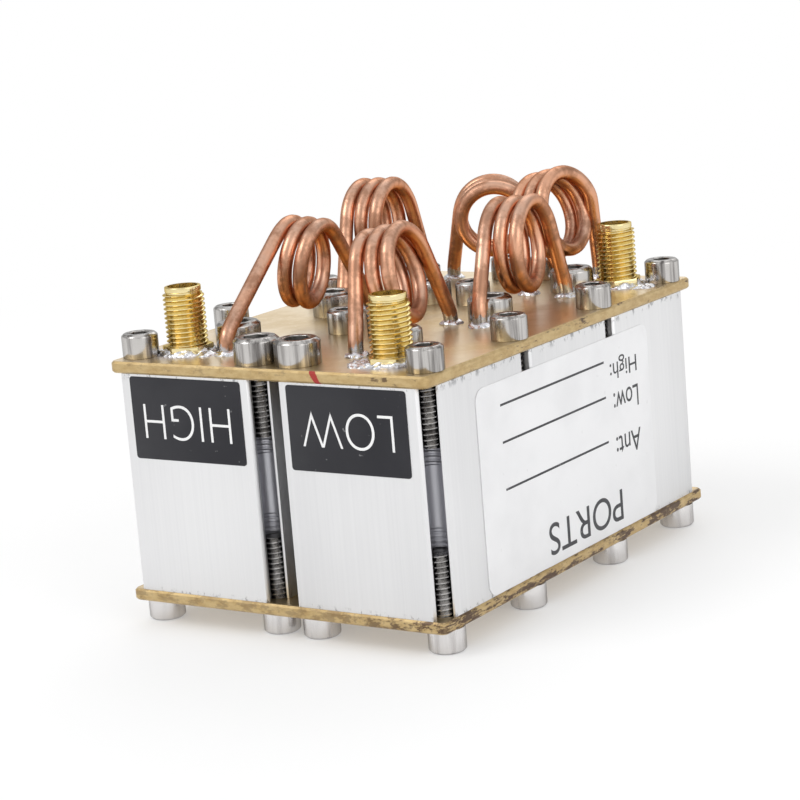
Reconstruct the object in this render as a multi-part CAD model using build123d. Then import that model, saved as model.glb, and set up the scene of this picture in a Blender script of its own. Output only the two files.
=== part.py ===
"""RF duplexer: two cavity blocks between brass plates, six air-wound coils and three coaxial jacks on top."""
from build123d import *
from math import acos, atan2, cos, degrees, hypot, radians, sin, tan
import os

# Blocks: two equal extrusions side by side, standing on end so that the bores run upright
block_width = 27.4
block_length = 80.0
block_height = 34.0
block_gap = 2.2
bores_per_block = 3
bore_wall = 3.5

# Screw channels run the full height of each block and break out through its skin
channel_inset = 2.6
corner_row_inset = 4.3
screw_clearance = 0.05
mouth_width = 2.4
mouth_chamfer = 0.35
corner_mouth_angle = 57.0
cut_margin = 1.0

# Brass plates closing the blocks top and bottom
plate_thickness = 1.8
plate_overhang = 0.25
plate_corner_radius = 1.2
plate_edge_chamfer = 0.3
plate_hole_clearance = 0.2

# Socket head cap screws, No. 6-32 thread
screw_thread_diameter = 3.5
screw_length = 11.1
head_diameter = 5.6
head_height = 3.7
wide_head_diameter = 7.0
wide_head_height = 3.9
head_chamfer = 0.35
socket_across_flats = 2.8
wide_socket_across_flats = 3.6
socket_depth = 1.8

# Coaxial jacks, quarter inch 36 thread
jack_thread_diameter = 6.35
jack_height = 10.3
jack_collar_diameter = 5.4
jack_collar_height = 0.8
jack_base_across_flats = 6.9
jack_base_height = 1.3
jack_mouth_diameter = 4.6
jack_mouth_depth = 3.6
jack_insulator_diameter = 4.1
jack_contact_diameter = 1.27
jack_contact_recess = 0.6
jack_contact_bore = 0.9
jack_contact_bore_depth = 3.0
jack_tail_length = 4.0
jack_seat_clearance = 0.02
jack_insulator_rise = 1.5

# Each jack is set in from the corner screw beside it, along X and along Y
high_jack_setting = (5.8, 4.3)
low_jack_setting = (7.7, 3.2)
antenna_jack_setting = (5.8, 4.5)

# Air-wound coils of heavy copper wire
wire_diameter = 2.3
coil_pitch = 2.6
coil_turns = 2.5
corner_step = 45.0
corner_roundness = 0.97
joining_roundness = 0.7
foot_bend_radius = 2.0
foot_bend_height = 1.6
foot_clearance = 0.03

# Solder around the feet and under the jacks
foot_solder_radius = 1.8
foot_solder_top_radius = 1.3
foot_solder_height = 0.45
jack_solder_radius = 4.25
jack_solder_top_radius = 4.1
jack_solder_height = 0.7

# Turned resonator posts hanging from the top plate, one in each bore, each held by a wide-headed screw
post_diameter = 7.0
post_length = 21.5
post_tap_depth = 10.5
post_hat_diameter = 12.0
post_hat_height = 3.0
post_hat_chamfer = 0.5
post_cup_diameter = 9.4
post_cup_depth = 1.6

# Tuning screws through the bottom plate, No. 10-32 thread, each with a swivelling disc
tuner_thread_diameter = 4.8
tuner_inner_length = 6.0
tuner_outer_length = 2.6
tuner_clearance = 0.05
tuner_slot_width = 0.8
tuner_slot_depth = 1.0
spigot_diameter = 2.4
spigot_cap_diameter = 3.6
spigot_cap_height = 0.6
disc_diameter = 8.0
disc_height = 1.6
disc_end_play = 0.05
nut_across_flats = 7.9
nut_height = 2.4

# Adhesive labels, measured from the block's own edges
label_thickness = 0.15
port_label_corner_radius = 0.5
side_label_corner_radius = 2.0
port_label_width = 20.8
port_label_height = 12.2
port_label_drop = 0.6
port_label_inset = 3.1
side_label_front_inset = 12.35
side_label_rear_inset = 15.75
side_label_drop = 2.8
side_label_rise = 0.6

# Worked out from the sizes above
head_standoff = head_height
bottom_z = head_standoff + plate_thickness
top_z = bottom_z + block_height
deck_z = top_z + plate_thickness
block_centre_x = (block_gap + block_width) / 2
plate_width = 2 * block_width + block_gap + 2 * plate_overhang
plate_length = block_length + 2 * plate_overhang
bore_diameter = block_length / bores_per_block - bore_wall * (bores_per_block + 1) / bores_per_block
bore_pitch = bore_diameter + bore_wall
channel_radius = screw_thread_diameter / 2 + screw_clearance
channel_column = block_width / 2 - channel_inset
corner_row = block_length / 2 - corner_row_inset
screw_rows = (-corner_row, -bore_pitch / 2, bore_pitch / 2, corner_row)
bore_rows = [bore_pitch * (i - (bores_per_block - 1) / 2) for i in range(bores_per_block)]
outer_column = block_centre_x + channel_column
inner_column = block_centre_x - channel_column
front_y = -block_length / 2


def jack_place(x_side, y_side, setting):
    """A jack's axis, set in from the corner screw on the given sides."""
    return x_side * (outer_column - setting[0]), y_side * (corner_row - setting[1])


def beside(place, x_offset, y_offset):
    """A point on the deck given by its offsets from a bore or a jack."""
    return place[0] + x_offset, place[1] + y_offset


jack_places = {
    "high": jack_place(-1, -1, high_jack_setting),
    "low": jack_place(1, -1, low_jack_setting),
    "antenna": jack_place(1, 1, antenna_jack_setting),
}
high_middle = (-block_centre_x, 0.0)
high_rear = (-block_centre_x, bore_pitch)
low_front = (block_centre_x, -bore_pitch)
low_middle = (block_centre_x, 0.0)
low_rear = (block_centre_x, bore_pitch)

# Each coil: its two feet, the centre of its winding, the heights above the deck of the first leg's bend
# and of that centre, then the heading of the winding's axis, its rise in degrees, and the winding's radius
coil_layout = {
    "high_input_coil": (
        beside(jack_places["high"], 7.8, -0.6), beside(high_middle, 3.8, 4.8),
        beside(high_middle, 2.6, -10.5), 2.8, 10.4, 12.0, -7.0, 6.1,
    ),
    "high_output_coil": (
        beside(high_middle, -3.4, 7.5), beside(high_rear, -2.2, 6.1),
        beside(high_rear, -3.4, -5.7), foot_bend_height, 11.9, 10.0, 1.0, 6.35,
    ),
    "low_input_coil": (
        beside(jack_places["low"], -8.6, 3.2), beside(low_middle, -4.9, -3.8),
        beside(low_front, -4.8, 7.2), foot_bend_height, 10.2, 12.0, 12.0, 6.6,
    ),
    "low_output_coil": (
        beside(low_middle, 1.2, -5.2), beside(low_rear, 1.7, -5.1),
        beside(low_middle, 1.2, 7.8), 2.8, 10.6, 11.0, 3.0, 6.6,
    ),
    "high_link_coil": (
        beside(high_rear, 1.3, 8.5), beside(low_rear, -6.5, 8.0),
        beside(high_rear, 12.6, 4.7), foot_bend_height, 11.4, -57.0, -6.0, 5.5,
    ),
    "low_link_coil": (
        beside(low_rear, -5.8, -4.2), beside(jack_places["antenna"], -6.9, 6.3),
        beside(low_rear, -3.6, 2.5), foot_bend_height, 12.3, -6.0, 13.0, 6.25,
    ),
}


def screw_columns():
    """Upright axes of the screws that run down the channels of both blocks."""
    columns = (-outer_column, -inner_column, inner_column, outer_column)
    return [(x, row) for x in columns for row in screw_rows]


def bore_places():
    """Upright axes of the bores of both blocks."""
    return [(side * block_centre_x, row) for side in (-1, 1) for row in bore_rows]


def upright_cylinder(x, y, z_low, z_high, diameter):
    """A cylinder standing between two heights."""
    return Pos(x, y, z_low) * extrude(Circle(diameter / 2), z_high - z_low)


def mouth(x, y, heading):
    """The slot that opens a screw channel towards the heading, with bevelled lips at the skin."""
    reach = corner_row_inset + channel_inset
    slot = Pos(reach / 2, 0) * Rectangle(reach, mouth_width)
    return Pos(x, y) * Rot(0, 0, heading) * slot


def lip_bevel(x, y, heading, depth):
    """Widens the mouth where it meets the skin, depth away from the channel's axis."""
    outer = mouth_width / 2 + mouth_chamfer
    start = depth - mouth_chamfer
    end = depth + cut_margin
    points = [
        (start, -mouth_width / 2),
        (depth, -outer),
        (end, -outer),
        (end, outer),
        (depth, outer),
        (start, mouth_width / 2),
    ]
    return Pos(x, y) * Rot(0, 0, heading) * make_face(Polyline(*points, close=True))


def block_section():
    """Cross-section of one block, centred on its own axis."""
    section = Rectangle(block_width, block_length)
    for row in bore_rows:
        section -= Pos(0, row) * Circle(bore_diameter / 2)
    for side in (-1, 1):
        x = side * channel_column
        for row in screw_rows:
            section -= Pos(x, row) * Circle(channel_radius)
            if abs(row) == corner_row:
                towards_end = corner_mouth_angle if row > 0 else -corner_mouth_angle
                heading = towards_end if side > 0 else 180 - towards_end
                skin_distance = min(channel_inset / cos(radians(corner_mouth_angle)), corner_row_inset)
            else:
                heading = 0 if side > 0 else 180
                skin_distance = channel_inset
            section -= mouth(x, row, heading)
            section -= lip_bevel(x, row, heading, skin_distance)
    return section


def block(side):
    """One cavity block, extruded upright between the plates."""
    return Pos(side * block_centre_x, 0, bottom_z) * extrude(block_section(), block_height)


def plate(z_low, holes):
    """A brass plate with bevelled edges and the given through holes as (x, y, diameter)."""
    outline = RectangleRounded(plate_width, plate_length, plate_corner_radius)
    body = Pos(0, 0, z_low) * extrude(outline, plate_thickness)
    rims = body.faces().sort_by(Axis.Z)[-1].edges() + body.faces().sort_by(Axis.Z)[0].edges()
    body = chamfer(rims, plate_edge_chamfer)
    for x, y, diameter in holes:
        body -= upright_cylinder(x, y, z_low - cut_margin, z_low + plate_thickness + cut_margin, diameter)
    return body


def screw_holes(places):
    """Clearance holes for cap screws."""
    diameter = screw_thread_diameter + 2 * plate_hole_clearance
    return [(x, y, diameter) for x, y in places]


def cap_screw(diameter, height, across_flats):
    """A socket head cap screw pointing down, with the underside of its head at the origin."""
    head = chamfer(extrude(Circle(diameter / 2), height).edges().sort_by(Axis.Z)[-1], head_chamfer)
    socket = Pos(0, 0, height - socket_depth) * extrude(hexagon(across_flats), socket_depth)
    shank = Pos(0, 0, -screw_length) * extrude(Circle(screw_thread_diameter / 2), screw_length)
    return head - socket + shank


def hexagon(across_flats):
    """A regular hexagon given by the distance between its flats."""
    return RegularPolygon(across_flats / 2, 6, major_radius=False)


def wide_screw_places():
    """The bore centres and the two front corners beside the gap take wider heads."""
    return bore_places() + [(-inner_column, -corner_row), (inner_column, -corner_row)]


def narrow_screw_places():
    """Every other channel screw of the top plate."""
    wide = wide_screw_places()
    return [place for place in screw_columns() if place not in wide]


def top_screw_group(places, screw):
    """Upper cap screws of one head size."""
    return Compound([Pos(x, y, deck_z) * screw for x, y in places])


def bottom_screw_group():
    """The lower cap screws, heads down."""
    screw = Rot(180, 0, 0) * cap_screw(head_diameter, head_height, socket_across_flats)
    return Compound([Pos(x, y, head_standoff) * screw for x, y in screw_columns()])


def jack_shell(x, y):
    """The jack's threaded body, hexagon base and plain collar, open at the mouth and bored through."""
    thread_top = jack_height - jack_collar_height
    body = extrude(hexagon(jack_base_across_flats), jack_base_height)
    body += extrude(Circle(jack_thread_diameter / 2), thread_top)
    body += Pos(0, 0, thread_top) * extrude(Circle(jack_collar_diameter / 2), jack_collar_height)
    body -= extrude(Circle(jack_insulator_diameter / 2), jack_height)
    body -= Pos(0, 0, jack_height - jack_mouth_depth) * extrude(Circle(jack_mouth_diameter / 2), jack_mouth_depth)
    return Pos(x, y, deck_z) * body


def jack_insulator(x, y):
    """The white insulator that fills the jack's bore and passes through the plate."""
    z_low = top_z
    z_high = deck_z + jack_height - jack_mouth_depth + jack_insulator_rise
    outer = jack_insulator_diameter - 2 * jack_seat_clearance
    inner = jack_contact_diameter + 2 * jack_seat_clearance
    core = upright_cylinder(x, y, z_low - cut_margin, z_high + cut_margin, inner)
    return upright_cylinder(x, y, z_low, z_high, outer) - core


def jack_contact(x, y):
    """The centre contact, bored at the mouth, with a tail reaching into the bore below."""
    z_high = deck_z + jack_height - jack_contact_recess
    pin = upright_cylinder(x, y, top_z - jack_tail_length, z_high, jack_contact_diameter)
    return pin - upright_cylinder(x, y, z_high - jack_contact_bore_depth, z_high, jack_contact_bore)


def tangent_path(points, radii):
    """Straight runs joined by tangent arcs, one radius for each inner corner."""
    edges = []
    here = points[0]
    for i, radius in enumerate(radii):
        corner = points[i + 1]
        ahead = (corner - points[i]).normalized()
        after = (points[i + 2] - corner).normalized()
        half_turn = radians(ahead.get_angle(after)) / 2
        reach = radius * tan(half_turn)
        inward = (after - ahead).normalized()
        middle = corner + inward * (radius / cos(half_turn) - radius)
        arc_start = corner - ahead * reach
        arc_end = corner + after * reach
        edges += [Line(here, arc_start), ThreePointArc(arc_start, middle, arc_end)]
        here = arc_end
    return Wire(edges + [Line(here, points[-1])])


def tangent_wire(points, radii, diameter):
    """A round wire along straight runs joined by tangent arcs."""
    path = tangent_path(points, radii)
    start = Plane(origin=path @ 0, z_dir=path % 0)
    return sweep(start * Circle(diameter / 2), path=path)


def winding_axes(heading, lean):
    """The winding's axis, its front side and its upper side as unit vectors."""
    level = Vector(cos(radians(heading)), sin(radians(heading)), 0)
    ahead = level * cos(radians(lean)) + Vector(0, 0, sin(radians(lean)))
    front = Vector(level.Y, -level.X, 0)
    return ahead, front, ahead.cross(front) * -1


def leaving_angle(away, outward, up, radius):
    """How far above level a straight leg to a point meets the winding at a tangent, in degrees."""
    across = away.dot(outward)
    height = away.dot(up)
    return degrees(atan2(height, across) + acos(radius / hypot(across, height)))


def coil(first_foot, last_foot, middle, first_bend_height, middle_height, heading, lean, radius):
    """An air-wound coil whose two feet stand in the top plate and whose legs run off the winding at tangents."""
    ahead, front, up = winding_axes(heading, lean)
    centre = Vector(*middle, deck_z + middle_height)
    first_bend = Vector(*first_foot, deck_z + first_bend_height)
    last_bend = Vector(*last_foot, deck_z + foot_bend_height)
    start = leaving_angle(first_bend - centre, front, up, radius)
    end = 360 * coil_turns - leaving_angle(last_bend - centre, front * -1, up, radius)
    count = round((end - start) / corner_step)
    step = (end - start) / count
    outer = radius / cos(radians(step / 2))
    corners = []
    for i in range(count):
        angle = start + step * (i + 0.5)
        along = ahead * (coil_pitch * (angle / 360 - coil_turns / 2))
        around = front * cos(radians(angle)) + up * sin(radians(angle))
        corners.append(centre + along + around * outer)
    points = [Vector(*first_foot, top_z), first_bend] + corners + [last_bend, Vector(*last_foot, top_z)]
    joining = [radius * joining_roundness]
    winding = [radius * corner_roundness] * (count - 2)
    radii = [foot_bend_radius] + joining + winding + joining + [foot_bend_radius]
    return tangent_wire(points, radii, wire_diameter)


def resonator_post(x, y):
    """A turned post tapped for its screw, with a cupped hat at its lower end."""
    z_low = top_z - post_length
    hat = extrude(Circle(post_hat_diameter / 2), post_hat_height)
    hat = Pos(x, y, z_low) * chamfer(hat.edges().filter_by(GeomType.CIRCLE), post_hat_chamfer)
    post = hat + upright_cylinder(x, y, z_low, top_z, post_diameter)
    post -= upright_cylinder(x, y, z_low, z_low + post_cup_depth, post_cup_diameter)
    return post - upright_cylinder(x, y, top_z - post_tap_depth, top_z, 2 * channel_radius)


def tuning_screw(x, y):
    """A slotted tuning screw with a spigot and cap that carry the disc."""
    z_shoulder = bottom_z + tuner_inner_length
    z_outer = head_standoff - tuner_outer_length
    shank = upright_cylinder(x, y, z_outer, z_shoulder, tuner_thread_diameter)
    cap_low = z_shoulder + disc_height + 2 * disc_end_play
    spigot = upright_cylinder(x, y, z_shoulder, cap_low, spigot_diameter)
    cap = upright_cylinder(x, y, cap_low, cap_low + spigot_cap_height, spigot_cap_diameter)
    slot_length = tuner_thread_diameter + 2 * cut_margin
    slot = Pos(x, y, z_outer + tuner_slot_depth / 2) * Box(slot_length, tuner_slot_width, tuner_slot_depth)
    return shank + spigot + cap - slot


def tuning_disc(x, y):
    """The disc that swivels on the tuning screw's spigot."""
    z_low = bottom_z + tuner_inner_length + disc_end_play
    disc = upright_cylinder(x, y, z_low, z_low + disc_height, disc_diameter)
    bore = spigot_diameter + 2 * tuner_clearance
    return disc - upright_cylinder(x, y, z_low - cut_margin, z_low + disc_height + cut_margin, bore)


def lock_nut(x, y):
    """A thin hexagon nut against the bottom plate."""
    nut = Pos(x, y, head_standoff - nut_height) * extrude(hexagon(nut_across_flats), nut_height)
    bore = tuner_thread_diameter + 2 * tuner_clearance
    return nut - upright_cylinder(x, y, 0, head_standoff + cut_margin, bore)


def foot_solder(x, y):
    """A low cone of solder round one foot."""
    cone = Cone(foot_solder_radius, foot_solder_top_radius, foot_solder_height)
    hole = upright_cylinder(x, y, deck_z - cut_margin, deck_z + cut_margin, wire_diameter + 2 * foot_clearance)
    return Pos(x, y, deck_z + foot_solder_height / 2) * cone - hole


def jack_solder(x, y):
    """A low collar of solder round a jack's hexagon base."""
    cone = Cone(jack_solder_radius, jack_solder_top_radius, jack_solder_height)
    base = extrude(hexagon(jack_base_across_flats + 2 * jack_seat_clearance), jack_base_height)
    return Pos(x, y, deck_z) * (Pos(0, 0, jack_solder_height / 2) * cone - base)


def port_label(side):
    """A port label on the front of one block, near its top outer corner."""
    x = side * (block_gap / 2 + port_label_inset + port_label_width / 2)
    z = top_z - port_label_drop - port_label_height / 2
    outline = RectangleRounded(port_label_width, port_label_height, port_label_corner_radius)
    return Pos(x, front_y, z) * Rot(90, 0, 0) * extrude(outline, label_thickness)


def side_label():
    """The long label on the right-hand side."""
    length = block_length - side_label_front_inset - side_label_rear_inset
    height = block_height - side_label_drop - side_label_rise
    middle = (side_label_front_inset - side_label_rear_inset) / 2
    origin = (block_gap / 2 + block_width, middle, bottom_z + side_label_rise + height / 2)
    outline = RectangleRounded(length, height, side_label_corner_radius)
    return Plane(origin=origin, x_dir=(0, 1, 0), z_dir=(1, 0, 0)) * extrude(outline, label_thickness)


def coil_feet():
    """Where the feet of all coils stand."""
    feet = []
    for layout in coil_layout.values():
        feet += layout[:2]
    return feet


def top_plate():
    """The upper plate, drilled for its screws, jacks and coil feet."""
    holes = screw_holes(screw_columns() + bore_places())
    for x, y in jack_places.values():
        holes.append((x, y, jack_insulator_diameter))
    for x, y in coil_feet():
        holes.append((x, y, wire_diameter + 2 * foot_clearance))
    return plate(top_z, holes)


def bottom_plate():
    """The lower plate, drilled for its screws and tapped for the tuning screws."""
    holes = screw_holes(screw_columns())
    for x, y in bore_places():
        holes.append((x, y, tuner_thread_diameter + 2 * tuner_clearance))
    return plate(head_standoff, holes)


def bore_names():
    """One name for each bore, such as high_front."""
    names = []
    for block_name in ("high", "low"):
        for row_name in ("front", "middle", "rear"):
            names.append(f"{block_name}_{row_name}")
    return names


def nodes():
    """Every named piece of the duplexer."""
    narrow_screw = cap_screw(head_diameter, head_height, socket_across_flats)
    wide_screw = cap_screw(wide_head_diameter, wide_head_height, wide_socket_across_flats)
    pieces = {
        "high_block": block(-1),
        "low_block": block(1),
        "top_plate": top_plate(),
        "bottom_plate": bottom_plate(),
        "top_screws": top_screw_group(narrow_screw_places(), narrow_screw),
        "wide_top_screws": top_screw_group(wide_screw_places(), wide_screw),
        "bottom_screws": bottom_screw_group(),
        "high_label": port_label(-1),
        "low_label": port_label(1),
        "side_label": side_label(),
        "lock_nuts": Compound([lock_nut(x, y) for x, y in bore_places()]),
        "jack_solder": Compound([jack_solder(x, y) for x, y in jack_places.values()]),
    }
    for name, layout in coil_layout.items():
        pieces[name] = coil(*layout)
    pieces["coil_solder"] = Compound([foot_solder(x, y) for x, y in coil_feet()])
    for name, (x, y) in jack_places.items():
        pieces[f"{name}_jack_shell"] = jack_shell(x, y)
        pieces[f"{name}_jack_insulator"] = jack_insulator(x, y)
        pieces[f"{name}_jack_contact"] = jack_contact(x, y)
    for name, (x, y) in zip(bore_names(), bore_places()):
        pieces[f"{name}_resonator"] = resonator_post(x, y)
        pieces[f"{name}_tuning_screw"] = tuning_screw(x, y)
        pieces[f"{name}_tuning_disc"] = tuning_disc(x, y)
    return pieces


os.makedirs("parts", exist_ok=True)
for node_name, solid in nodes().items():
    solid.label = node_name
    export_step(solid, f"parts/{node_name}.step")
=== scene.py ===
"""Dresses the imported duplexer: threads, solder, wound wire, labels, metal finishes, studio and camera."""
import logging
import math
from collections.abc import Callable, Iterator
from contextlib import contextmanager
from dataclasses import dataclass
from enum import Enum
from functools import cached_property

import bpy
from mathutils import Matrix, Vector


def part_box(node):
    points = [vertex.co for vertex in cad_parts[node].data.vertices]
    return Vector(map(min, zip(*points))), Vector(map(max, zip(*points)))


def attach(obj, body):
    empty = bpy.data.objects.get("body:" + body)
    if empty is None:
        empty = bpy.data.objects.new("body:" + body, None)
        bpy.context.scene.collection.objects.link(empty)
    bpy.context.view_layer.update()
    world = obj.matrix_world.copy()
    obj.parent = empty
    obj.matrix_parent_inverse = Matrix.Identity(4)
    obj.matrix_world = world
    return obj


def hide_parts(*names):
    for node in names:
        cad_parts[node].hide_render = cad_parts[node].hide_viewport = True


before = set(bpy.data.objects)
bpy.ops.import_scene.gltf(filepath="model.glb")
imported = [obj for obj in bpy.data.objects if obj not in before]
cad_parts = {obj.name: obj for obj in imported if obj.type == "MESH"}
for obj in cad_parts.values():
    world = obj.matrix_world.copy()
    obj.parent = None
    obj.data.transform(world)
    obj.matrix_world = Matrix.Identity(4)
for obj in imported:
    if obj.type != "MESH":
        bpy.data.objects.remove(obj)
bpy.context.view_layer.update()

MM = 0.001
MAIN_BODY = "duplexer"
SIDES = ((-1, "high"), (1, "low"))
Material = bpy.types.Material
Node = bpy.types.Node
Piece = bpy.types.Object
Socket = bpy.types.NodeSocket
Pair = tuple[float, float]
Triple = tuple[float, float, float]
Colour = Triple
log = logging.getLogger("duplexer")


# Levels and places shared with the solids, in millimetres


@dataclass(frozen=True)
class Levels:
    """Heights and outlines of the solids that the new pieces sit on."""

    head: float = 3.7
    plate: float = 1.8
    block: float = 34.0
    half_width: float = 28.75
    half_length: float = 40.25

    @property
    def bottom(self) -> float:
        """Underside of the blocks."""
        return self.head + self.plate

    @property
    def top(self) -> float:
        """Upper side of the blocks."""
        return self.bottom + self.block

    @property
    def deck(self) -> float:
        """Upper side of the top plate."""
        return self.top + self.plate


@dataclass(frozen=True)
class Layout:
    """Where the repeated pieces stand, from the same sizes as the solids."""

    block_centre: float = 14.8
    channel_column: float = 11.1
    channel_radius: float = 1.9
    rows: tuple[float, ...] = (-35.7, -12.75, 12.75, 35.7)
    bore_pitch: float = 25.5
    jacks: tuple[tuple[str, float, float], ...] = (
        ("high", -20.1, -31.4), ("low", 18.2, -32.5), ("antenna", 20.1, 31.2),
    )

    def channels(self) -> list[Pair]:
        """Axes of the sixteen channel screws."""
        columns = [
            side * self.block_centre + part * self.channel_column for side in (-1, 1) for part in (-1, 1)
        ]
        return [(x, y) for x in columns for y in self.rows]

    def wide(self) -> list[Pair]:
        """Axes of the eight wide-headed screws: one over each bore and two at the front beside the gap."""
        bores = [(side * self.block_centre, row * self.bore_pitch) for side in (-1, 1) for row in (-1, 0, 1)]
        return bores + [(side * (self.block_centre - self.channel_column), self.rows[0]) for side in (-1, 1)]


LEVELS = Levels()
LAYOUT = Layout()


def shift(x: float, y: float, z: float) -> Matrix:
    """A move by millimetres."""
    return Matrix.Translation(Vector((x, y, z)) * MM)


def turn(degrees: float, axis: str) -> Matrix:
    """A turn about one axis through the origin."""
    return Matrix.Rotation(math.radians(degrees), 4, axis)


# Building by hand: primitives, edit mode and modifiers


def only(piece: Piece) -> None:
    """Selects one object alone and makes it active.

    Args:
        piece: the object to select.
    """
    bpy.ops.object.select_all(action="DESELECT")
    piece.select_set(True)
    bpy.context.view_layer.objects.active = piece


def apply_place(piece: Piece) -> None:
    """Moves an object's place, turn and scale into its mesh."""
    only(piece)
    bpy.ops.object.transform_apply(location=True, rotation=True, scale=True)


def added(name: str) -> Piece:
    """Names the primitive that was just added and settles its place.

    Args:
        name: the name it gets.

    Returns:
        The new object, at the origin.
    """
    piece = bpy.context.view_layer.objects.active
    piece.name = name
    apply_place(piece)
    return piece


def cylinder(name: str, radius: float, low: float, high: float, sides: int, place: Pair = (0.0, 0.0)) -> Piece:
    """Adds an upright cylinder.

    Args:
        name: name of the new object.
        radius: its radius in millimetres.
        low: height of its lower end.
        high: height of its upper end.
        sides: number of faces round it.
        place: where its axis stands.

    Returns:
        The cylinder.
    """
    bpy.ops.object.select_all(action="DESELECT")
    middle = Vector((*place, (low + high) / 2)) * MM
    depth = (high - low) * MM
    bpy.ops.mesh.primitive_cylinder_add(vertices=sides, radius=radius * MM, depth=depth, location=middle)
    return added(name)


def box(name: str, middle: Vector, size: Vector, angle: float = 0.0) -> Piece:
    """Adds a box.

    Args:
        name: name of the new object.
        middle: its middle, in metres.
        size: its size along its own axes, in metres.
        angle: its turn about the upright axis, in radians.

    Returns:
        The box.
    """
    bpy.ops.object.select_all(action="DESELECT")
    bpy.ops.mesh.primitive_cube_add(size=1.0, location=middle, rotation=(0.0, 0.0, angle), scale=size)
    return added(name)


@contextmanager
def editing(piece: Piece, mode: str = "VERT", wanted: Callable[[object], bool] | None = None) -> Iterator[None]:
    """Opens a mesh in edit mode with the wanted elements selected, and closes it afterwards.

    Args:
        piece: the mesh object.
        mode: FACE, EDGE or VERT.
        wanted: says whether an element is to be selected, or None for all of them.

    Yields:
        Nothing, while the mesh is open.
    """
    only(piece)
    bpy.ops.object.mode_set(mode="EDIT")
    bpy.ops.mesh.select_mode(type=mode)
    bpy.ops.mesh.select_all(action="DESELECT" if wanted else "SELECT")
    if wanted:
        bpy.ops.object.mode_set(mode="OBJECT")
        elements = {"FACE": piece.data.polygons, "EDGE": piece.data.edges, "VERT": piece.data.vertices}
        for element in elements[mode]:
            element.select = wanted(element)
        bpy.ops.object.mode_set(mode="EDIT")
    yield
    bpy.ops.object.mode_set(mode="OBJECT")


def cut_level(height: float, drop_above: bool) -> None:
    """Cuts the open mesh level, drops one side of it and fills the cut.

    Args:
        height: height of the cut in millimetres.
        drop_above: whether the upper side goes, or else the lower.
    """
    bpy.ops.mesh.select_all(action="SELECT")
    bpy.ops.mesh.bisect(
        plane_co=(0.0, 0.0, height * MM), plane_no=(0.0, 0.0, 1.0), use_fill=True,
        clear_inner=not drop_above, clear_outer=drop_above, threshold=1e-7,
    )


def face_outwards() -> None:
    """Turns all faces of the open mesh outwards."""
    bpy.ops.mesh.select_all(action="SELECT")
    bpy.ops.mesh.normals_make_consistent(inside=False)


def add_modifier(piece: Piece, kind: str, **settings: object) -> bpy.types.Modifier:
    """Adds one modifier.

    Args:
        piece: the object it works on.
        kind: Blender's name of the modifier's type.
        settings: values of the modifier.

    Returns:
        The modifier.
    """
    modifier = piece.modifiers.new(kind.lower(), kind)
    for key, value in settings.items():
        setattr(modifier, key, value)
    return modifier


def apply_modifier(piece: Piece, kind: str, **settings: object) -> None:
    """Adds one modifier and applies it."""
    only(piece)
    bpy.ops.object.modifier_apply(modifier=add_modifier(piece, kind, **settings).name)


def rounding(width: float, segments: int = 2, angle: float = 35.0) -> dict[str, object]:
    """Bevel settings: width in millimetres, faces across it, and angle in degrees from which it works."""
    limits = {"limit_method": "ANGLE", "angle_limit": math.radians(angle)}
    return {"width": width * MM, "segments": segments} | limits


def discard(piece: Piece) -> None:
    """Removes an object that has served."""
    bpy.data.objects.remove(piece)


def cut_away(piece: Piece, cutter: Piece) -> None:
    """Takes one closed mesh out of another and removes the cutter."""
    apply_modifier(piece, "BOOLEAN", operation="DIFFERENCE", object=cutter, solver="EXACT")
    discard(cutter)


def join(pieces: list[Piece], name: str) -> Piece:
    """Joins several meshes into one object.

    Args:
        pieces: the objects.
        name: name of the result.

    Returns:
        The joined object.
    """
    only(pieces[0])
    for piece in pieces[1:]:
        piece.select_set(True)
    if len(pieces) > 1:
        bpy.ops.object.join()
    pieces[0].name = name
    return pieces[0]


def copies(model: Piece, places: list[Matrix], name: str) -> Piece:
    """Sets copies of one mesh at several places and joins them.

    Args:
        model: the object that is copied.
        places: where each copy goes, as a matrix in metres.
        name: name of the result.

    Returns:
        The joined copies.
    """
    made = []
    for place in places:
        twin = bpy.data.objects.new(f"{name}_copy", model.data.copy())
        twin.data.transform(place)
        bpy.context.scene.collection.objects.link(twin)
        made.append(twin)
    return join(made, name)


def smooth(piece: Piece, angle: float) -> None:
    """Shades a piece smooth except across edges sharper than an angle in degrees."""
    only(piece)
    bpy.ops.object.shade_smooth_by_angle(angle=math.radians(angle))


def settle(piece: Piece, finish: Material | None, slot: str, *stands_for: str) -> None:
    """Gives a new piece its finish and ties it to the main body.

    Args:
        piece: the new piece.
        finish: its material, or None where its parts already have theirs.
        slot: not used.
        stands_for: CAD nodes that it replaces.
    """
    if finish:
        piece.data.materials.clear()
        piece.data.materials.append(finish)
    if stands_for:
        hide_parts(*stands_for)
    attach(piece, MAIN_BODY)
    log.info("%s: %d faces", piece.name, len(piece.data.polygons))


def dress(node: str, finish: Material, edge: float = 0.0) -> None:
    """Gives a CAD node its finish and soft edges.

    Args:
        node: the node's name.
        finish: its material.
        edge: width of its broken edges in millimetres, or 0 for none.
    """
    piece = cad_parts[node]
    piece.data.materials.clear()
    piece.data.materials.append(finish)
    if edge > 0.0:
        add_modifier(piece, "WELD", merge_threshold=0.002 * MM)
        add_modifier(piece, "BEVEL", **rounding(edge, 2, 38.0))
    log.info("%s dressed", node)


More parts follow.
